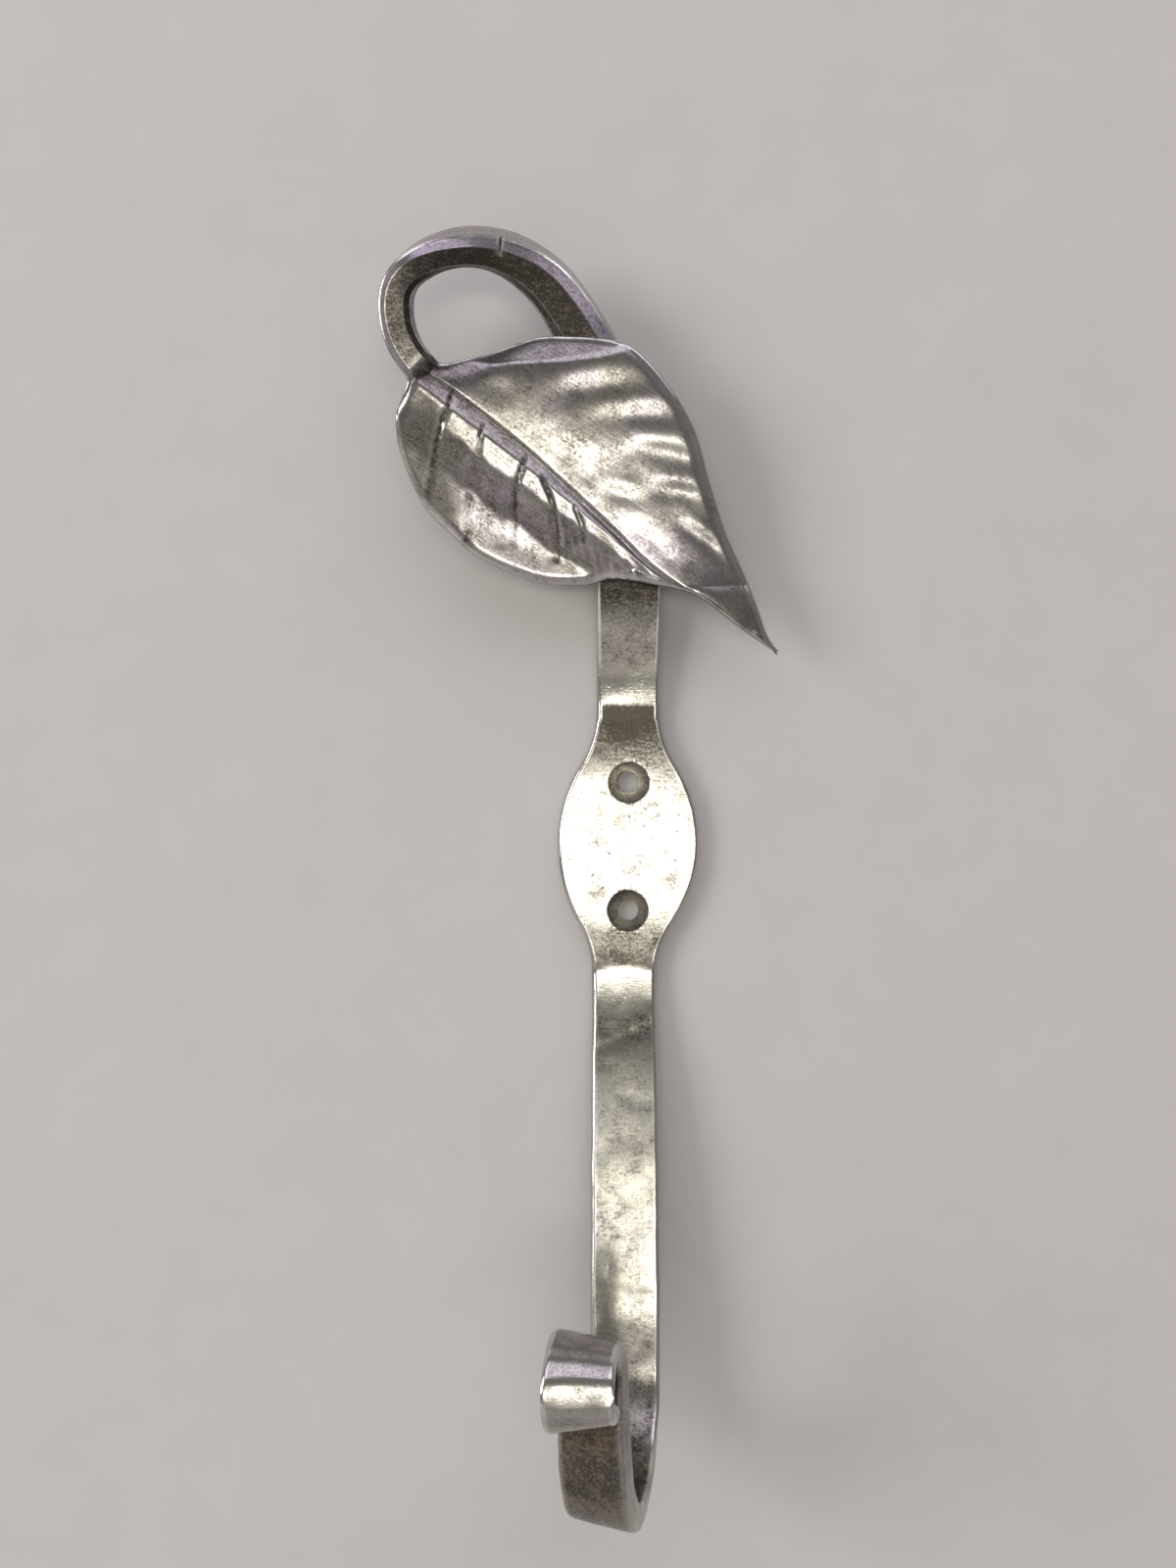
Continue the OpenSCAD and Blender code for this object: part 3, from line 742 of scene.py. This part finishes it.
def mark_wear_and_glint(mesh, holes, sink):
    """Stores how far each point stands out from (scuffed edges, lightened also as painted highlight) or lies
    behind (hollow) its neighbours.
    """
    n = len(mesh.vertices)
    co, no = np.empty(n * 3), np.empty(n * 3)
    mesh.vertices.foreach_get("co", co)
    mesh.vertex_normals.foreach_get("vector", no)
    co, no = co.reshape(-1, 3), no.reshape(-1, 3)
    pairs = np.empty(len(mesh.edges) * 2, dtype=np.int64)
    mesh.edges.foreach_get("vertices", pairs)
    a, b = pairs.reshape(-1, 2).T
    count = np.bincount(a, minlength=n) + np.bincount(b, minlength=n)

    def spread(values):
        return (np.bincount(a, values[b], n) + np.bincount(b, values[a], n)) / np.maximum(count, 1)

    step = co[b] - co[a]
    size = np.maximum(np.linalg.norm(step, axis=1), 1e-6)
    bend_a = -(step * no[a]).sum(1) / size
    bend_b = (step * no[b]).sum(1) / size
    bend = (np.bincount(a, bend_a, n) + np.bincount(b, bend_b, n)) / np.maximum(count, 1)
    near = bend
    for _ in range(2):
        near = 0.5 * near + 0.5 * spread(near)
    wide = near
    for _ in range(14):
        wide = 0.35 * wide + 0.65 * spread(wide)
    wear, hollow = np.clip(near * 3.2, 0, 1), np.clip(np.maximum(-wide * 9, -near * 4), 0, 1)
    hollow = np.maximum(hollow, 0.65 * chiselled(co[:, 0] / MM, co[:, 2] / MM) * (no[:, 1] < -0.2))
    for centre in holes:
        away = np.hypot(co[:, 0] - centre.x, co[:, 2] - centre.z)
        rim = away < sink / 2 + 0.9 * MM
        wear[rim], hollow[rim] = 0.0, 0.0
        # A painted shadow ring just inside each countersink's rim, with little darkening further in
        hollow[away < sink / 2 + 0.06 * MM] = 0.65
        hollow[away < sink / 2 - 0.6 * MM] = 0.05
    for name, values in (("wear", wear), ("hollow", hollow)):
        layer = mesh.attributes.new(name, "FLOAT", "POINT")
        layer.data.foreach_set("value", values.astype(np.float32))


# ---------------------------------------------------------------- materials
class Value:
    """A shader socket that can be used in sums."""

    def __init__(self, shader, socket):
        self.shader, self.socket = shader, socket

    def _math(self, operation, *values):
        return self.shader.node("Math", {"operation": operation}, list(values))

    def __add__(self, other):
        return self._math("ADD", self, other)

    def __sub__(self, other):
        return self._math("SUBTRACT", self, other)

    def __rsub__(self, other):
        return self._math("SUBTRACT", other, self)

    def __mul__(self, other):
        return self._math("MULTIPLY", self, other)

    def clamped(self):
        return self.shader.node("Clamp", {}, [self])

    __radd__, __rmul__ = __add__, __mul__


class Shader:
    """A material whose nodes come from one method."""

    def __init__(self, name):
        self.material = bpy.data.materials.new(name)
        self.material.use_nodes = True
        self.tree = self.material.node_tree
        self.tree.nodes.clear()

    def node(self, kind, settings, inputs, output=0):
        made = self.tree.nodes.new("ShaderNode" + kind)
        for key, value in settings.items():
            if key == "stops":
                ramp = made.color_ramp.elements
                while len(ramp) > 1:
                    ramp.remove(ramp[-1])
                for i, (at, tone) in enumerate(value):
                    stop = ramp[0] if i == 0 else ramp.new(at)
                    stop.position = at
                    stop.color = (tone, tone, tone, 1)
            else:
                setattr(made, key, value)
        named = enumerate(inputs) if isinstance(inputs, list) else inputs.items()
        for key, value in named:
            socket = made.inputs[key]
            if isinstance(value, Value):
                self.tree.links.new(value.socket, socket)
            elif isinstance(value, (tuple, Color)):
                socket.default_value = (*value, 1) if socket.type == "RGBA" else value
            else:
                socket.default_value = value
        return Value(self, made.outputs[output])

    def ramp(self, value, *stops):
        return self.node("ValToRGB", {"stops": stops}, [value])

    def along(self, run, stops):
        """Amount at a distance along the forging, from a table of stops in rising order."""
        low, high = stops[0][0], stops[-1][0]
        places = [((at - low) / (high - low), amount) for at, amount in stops]
        return self.ramp((run - low) * (1 / (high - low)), *places)

    def blend(self, factor, a, b):
        inputs = {"Factor": factor, 6: a, 7: b}
        return self.node("Mix", {"data_type": "RGBA"}, inputs, 2)

    def noise(self, where, scale, detail, rough=0.55):
        inputs = {"Vector": where, "Scale": scale, "Detail": detail, "Roughness": rough}
        return self.node("TexNoise", {}, inputs)

    def mapped(self, where, scale, turn=0.0):
        turned = self.node("Mapping", {}, {"Vector": where, "Rotation": (0, math.radians(turn), 0)})
        return self.node("Mapping", {}, {"Vector": turned, "Scale": scale})

    def attribute(self, name):
        return self.node("Attribute", {"attribute_name": name}, {}, "Fac")

    def surface(self, shader):
        self.tree.links.new(shader.socket, self.tree.nodes.new("ShaderNodeOutputMaterial").inputs[0])
        return self.material


# Finish along the forging: millimetres up from the plate's middle, then the amount. Above the middle: painted
# dark reflection on the plate's upper part, painted shade on the neck under the leaf, and a darker loop and
# stem.
SCALE_AND_SHADE_ABOVE = [
    (12.5, 0.0), (17.5, 0.55), (21.25, 0.85), (27.25, 0.9), (28.75, 0.0), (32.5, 0.0), (36.25, 0.1),
    (42.5, 0.15), (50, 0.75), (62.5, 0.8), (82.5, 0.7), (150, 0.7), (170, 0.25), (195, 0.0),
]
# Below the middle: painted dark reflection on the plate's lower part and just under the lower bend, and a
# darker hook and leg further down
SCALE_AND_SHADE_BELOW = [
    (-200, 0.3), (-194, 0.0), (-184, 0.0), (-178, 0.25), (-168, 0.9), (-152, 0.8), (-112, 0.3), (-92, 0.0),
    (-52, 0.12), (-40, 0.4), (-33, 0.45), (-30.4, 0.0), (-24, 0.0), (-22.8, 0.8), (-17, 0.55), (-12, 0.0),
]
# Lighter bands along the forging: painted highlights on the plate, on the bends above and below it and on the
# bar
PAINTED_HIGHLIGHTS = [
    (-92, 0.0), (-88, 0.6), (-79, 0.6), (-60, 0.5), (-44, 0.4), (-34, 0.0), (-31, 0.9), (-25, 0.9),
    (-23, 0.3), (-10, 0.3), (20, 0.2), (27.6, 0.0), (28.6, 0.9), (33, 0.9), (36, 0.0),
]
ROUGH_ABOVE = [(33, 0.0), (38, 0.2), (60, 0.15), (80, 0.0)]
ROUGH_BELOW = [(-120, 0.0), (-100, 0.08), (-72, 0.14), (-50, 0.17), (-38, 0.0)]
LEG = [(-180, 0.0), (-172, 1.0), (-140, 1.0), (-124, 0.0)]
# Light steel of the scuffed edges, which also paints their highlights
WORN_STEEL_AND_GLINT = (0.66, 0.65, 0.62)


def forged_steel(finish):
    """Brushed forged steel, with dark scale left in the hollows and bright scuffed edges that also paint
    highlights, plus painted shade, painted dark reflections and painted highlight bands along the forging,
    patina and painted shade on the loop's inner side and a painted lilac reflection on its outer side.
    """
    sh = Shader("forged_steel")
    where = sh.mapped(sh.node("TexCoord", {}, {}, "Object"), (1000, 1000, 1000))
    wear, hollow, leafy, run = (sh.attribute(name) for name in ("wear", "hollow", "leafy", "run"))
    inner, outer, edge = (sh.attribute(name) for name in ("inner", "outer", "edge"))
    broad = sh.noise(where, 0.06, 2)
    cloud = sh.noise(where, 0.22, 6, 0.68)
    grit = sh.noise(where, 1.9, 3, 0.7)
    fine = sh.noise(where, 4.5, 2, 0.6)
    level = sh.noise(sh.mapped(where, (0.5, 0.5, 3.4)), 1.0, 4, 0.75)
    slanted = sh.noise(sh.mapped(where, (0.22, 0.5, 3.0), -32), 1.0, 5, 0.78)
    brushed = level * (1 - leafy) + slanted * leafy
    # Scuffed edges and corners, lightened also as painted highlights
    wear = (wear + edge * (cloud * 2.4 - 0.75).clamped()).clamped()
    pits = sh.ramp(sh.noise(where, 0.9, 4, 0.7), (0.28, 1.0), (0.36, 0.0))

    mottle = cloud * 0.36 + brushed * 0.24 + grit * 0.26 + fine * 0.14
    # Dark layer: random scale, to which painted shade and painted dark reflections are added below
    film_and_shade = sh.ramp(mottle, (0.41, 0.85), (0.48, 0.45), (0.545, 0.2), (0.62, 0.03))
    # Painted dark reflection on the plate's upper part and painted shade on the neck under the leaf, with a
    # darker loop and stem
    film_and_shade = film_and_shade + sh.along(run, SCALE_AND_SHADE_ABOVE) * (cloud * 2.6 - 0.5)
    # Painted dark reflection on the plate's lower part and under the lower bend, and a darker hook and leg
    film_and_shade = film_and_shade + sh.along(run, SCALE_AND_SHADE_BELOW) * (cloud + fine - 0.2)
    # Dark scale in the hollows and pits, a painted shadow ring in each countersink, and on the loop's inner
    # side patina and painted shade
    film_and_shade = film_and_shade + hollow * 0.75 + inner * 0.6 + pits * 0.45
    # A painted lilac sheen on the loop's outer side, the painted highlight bands and the bright scuffed edges
    # lighten the dark layer
    film_and_shade = (film_and_shade - outer * 0.45 - sh.along(run, PAINTED_HIGHLIGHTS) * 0.5 - wear * 0.9).clamped()

    tint = sh.ramp(broad, (0.42, 0.0), (0.62, 0.6)) * (leafy * 0.7 + 0.4)
    # Random temper tint, stronger on the leaf, and a painted lilac reflection over the loop's outer side
    steel = sh.blend((tint + leafy * 0.15 + outer).clamped(), finish.steel, finish.temper_and_sheen)
    dark = sh.blend(sh.ramp(grit, (0.45, 0.0), (0.7, 0.7)), finish.patina, finish.rust)
    blotches = sh.ramp(cloud * 0.6 + grit * 0.4, (0.47, 0.0), (0.58, 0.8))
    dark = sh.blend(sh.along(run, LEG) * blotches, dark, finish.scale)
    # Scuffed edges lighten the colour, also as painted highlight
    base = sh.blend((wear * 0.9).clamped(), sh.blend(film_and_shade, steel, dark), WORN_STEEL_AND_GLINT)

    rough = (0.13 - leafy * 0.02 + film_and_shade * 0.2 + (brushed - 0.5) * 0.12 + (grit - 0.5) * 0.08).clamped()
    rough = rough + sh.along(run, ROUGH_BELOW) + sh.along(run, ROUGH_ABOVE)
    relief = brushed * 0.7 + grit * 0.3 + fine * 0.3 + cloud * 0.9 - pits * 0.5
    bump = sh.node("Bump", {}, {"Strength": 0.5, "Distance": 0.03 * MM, "Height": relief})
    return sh.surface(sh.node("BsdfPrincipled", {}, {
        "Base Color": base, "Metallic": 1 - film_and_shade * 0.2, "Roughness": rough, "Normal": bump,
    }))


def board_paint(tint):
    """Plain paint that is clear from behind and where it is touched, so the hook's back can be seen."""
    sh = Shader("plain_board")
    where = sh.node("TexCoord", {}, {}, "Object")
    mottle = sh.noise(where, 60.0, 4, 0.6)
    tone = sh.blend(sh.ramp(mottle, (0.35, 0.0), (0.65, 0.25)), tint, tuple(0.88 * t for t in tint))
    paint = sh.node("BsdfPrincipled", {}, {"Base Color": tone, "Roughness": 0.85})
    clear = sh.node("BsdfTransparent", {}, {})
    behind = sh.node("NewGeometry", {}, {}, "Backfacing")
    ray = sh.node("LightPath", {}, {}, "Ray Length")
    touching = sh.node("Math", {"operation": "LESS_THAN"}, [ray, 4 * MM])
    return sh.surface(sh.node("MixShader", {}, [(behind + touching).clamped(), paint, clear]))


# ---------------------------------------------------------------- operators
class HOOK_OT_forging(bpy.types.Operator):
    """Builds the whole forging: leaf, stem, neck, wall plate, bar, hook and curl"""

    bl_idname = "hook.forging"
    bl_label = "Forging"

    def execute(self, context):
        scene = context.scene
        bm = skin(Forging(scene).rings())
        flattened(bm, first=-210, last=-165, tilt=math.radians(9), depth=0.75 * MM)
        hammered(bm, scene.hook_finish.hammer, scene.hook_finish.seed)
        piece = new_object("forged_hook", bm)
        p = scene.hook_plate
        holes = (
            ("upper_hole", p.pitch / 2, Vector((0.12, 0, -0.1)) * MM),
            ("lower_hole", -p.pitch / 2, Vector((-0.1, 0, 0.12)) * MM),
        )
        for name, z, slip in holes:
            cut(piece, hole_cutter(name, z, p, slip))
        crack(piece, x=-24.2 * MM, z=110.5 * MM)
        mesh = piece.data
        mesh.shade_smooth()
        mesh.set_sharp_from_angle(angle=math.radians(38))
        mark_wear_and_glint(mesh, [Vector((0, 0, z)) + slip for _, z, slip in holes], p.sink)
        mesh.materials.clear()
        mesh.materials.append(forged_steel(scene.hook_finish))
        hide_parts("hook")
        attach(piece, "root")
        return {"FINISHED"}


CANDLE = (1.0, 0.975, 0.89)
# Soft lights: place, aim, width and height in metres, and tint
LIGHTS = {
    "key": ((0.0, -6.0, -0.34), (0, 0, -0.34), (3.2, 0.54), CANDLE),
    "glow": ((0.0, -6.1, -0.1), (0, 0, -0.1), (4.2, 1.25), CANDLE),
    "window": ((0.2, -2.0, 2.6), (0, 0, 0), (5.0, 2.6), (0.88, 0.82, 1.0)),
    "side": ((-2.2, -1.6, 0.5), (0, 0, 0), (1.2, 1.2), (1, 1, 1)),
}
EYE = (-0.0079, -0.282, 0.0123)  # the camera's place
STAGE_HALF = 4.0  # half a side of the board and of the floor


def area_light(name, place, aim, size, tint, watts):
    light = bpy.data.lights.new(name, "AREA")
    light.shape, light.size, light.size_y = "RECTANGLE", size[0], size[1]
    light.energy, light.color = watts, tint
    made = bpy.data.objects.new(name, light)
    made.location = place
    made.rotation_euler = (Vector(aim) - Vector(place)).to_track_quat("-Z", "Y").to_euler()
    bpy.context.scene.collection.objects.link(made)


def stage_plane(name, matrix, material):
    bm = bmesh.new()
    bmesh.ops.create_grid(bm, x_segments=1, y_segments=1, size=STAGE_HALF)
    bmesh.ops.transform(bm, matrix=matrix, verts=bm.verts)
    made = new_object(name, bm)
    made.data.materials.append(material)


class HOOK_OT_stage(bpy.types.Operator):
    """Sets up the plain board, floor, soft lights and camera"""

    bl_idname = "hook.stage"
    bl_label = "Stage"

    def execute(self, context):
        scene = context.scene
        s = scene.hook_stage
        paint = board_paint(s.board)
        upright = Matrix.Translation((0, 0.4 * MM, 0)) @ Matrix.Rotation(math.radians(90), 4, "X")
        stage_plane("board", upright, paint)
        stage_plane("floor", Matrix.Translation((0, 0, -0.9)), paint)
        for name, light in LIGHTS.items():
            area_light(name, *light, getattr(s, name))
        world = bpy.data.worlds.new("surroundings")
        world.use_nodes = True
        background = world.node_tree.nodes["Background"].inputs
        background["Color"].default_value = (1.0, 0.97, 0.95, 1)
        background["Strength"].default_value = s.sky
        scene.world = world
        camera = bpy.data.cameras.new("camera")
        camera.lens, camera.sensor_width, camera.clip_start = 32.6, 36, 0.01
        seen = bpy.data.objects.new("camera", camera)
        seen.location = EYE
        seen.rotation_euler = (math.radians(90), 0, 0)
        scene.collection.objects.link(seen)
        scene.camera = seen
        scene.view_settings.view_transform = "Standard"
        return {"FINISHED"}


class HOOK_PT_panel(bpy.types.Panel):
    """Lists the steps that build the coat hook"""

    bl_idname = "HOOK_PT_panel"
    bl_label = "Coat Hook"
    bl_space_type = "VIEW_3D"
    bl_region_type = "UI"
    bl_category = "Coat Hook"

    def draw(self, context):
        for step in STEPS:
            self.layout.operator(step.bl_idname)
        for name in SETTINGS:
            group = getattr(context.scene, name)
            box = self.layout.box()
            for key in group.__annotations__:
                box.prop(group, key)


STEPS = (HOOK_OT_forging, HOOK_OT_stage)
SETTINGS = {
    "hook_plate": PlateSettings,
    "hook_loop": LoopSettings,
    "hook_leaf": LeafSettings,
    "hook_bar": BarSettings,
    "hook_finish": FinishSettings,
    "hook_stage": StageSettings,
}


def register():
    for cls in (*SETTINGS.values(), *STEPS, HOOK_PT_panel):
        bpy.utils.register_class(cls)
    for name, cls in SETTINGS.items():
        setattr(bpy.types.Scene, name, PointerProperty(type=cls))


def unregister():
    for name in SETTINGS:
        delattr(bpy.types.Scene, name)
    for cls in (HOOK_PT_panel, *STEPS[::-1], *list(SETTINGS.values())[::-1]):
        bpy.utils.unregister_class(cls)


def main():
    register()
    bpy.ops.hook.forging()
    bpy.ops.hook.stage()


if __name__ == "__main__":
    main()
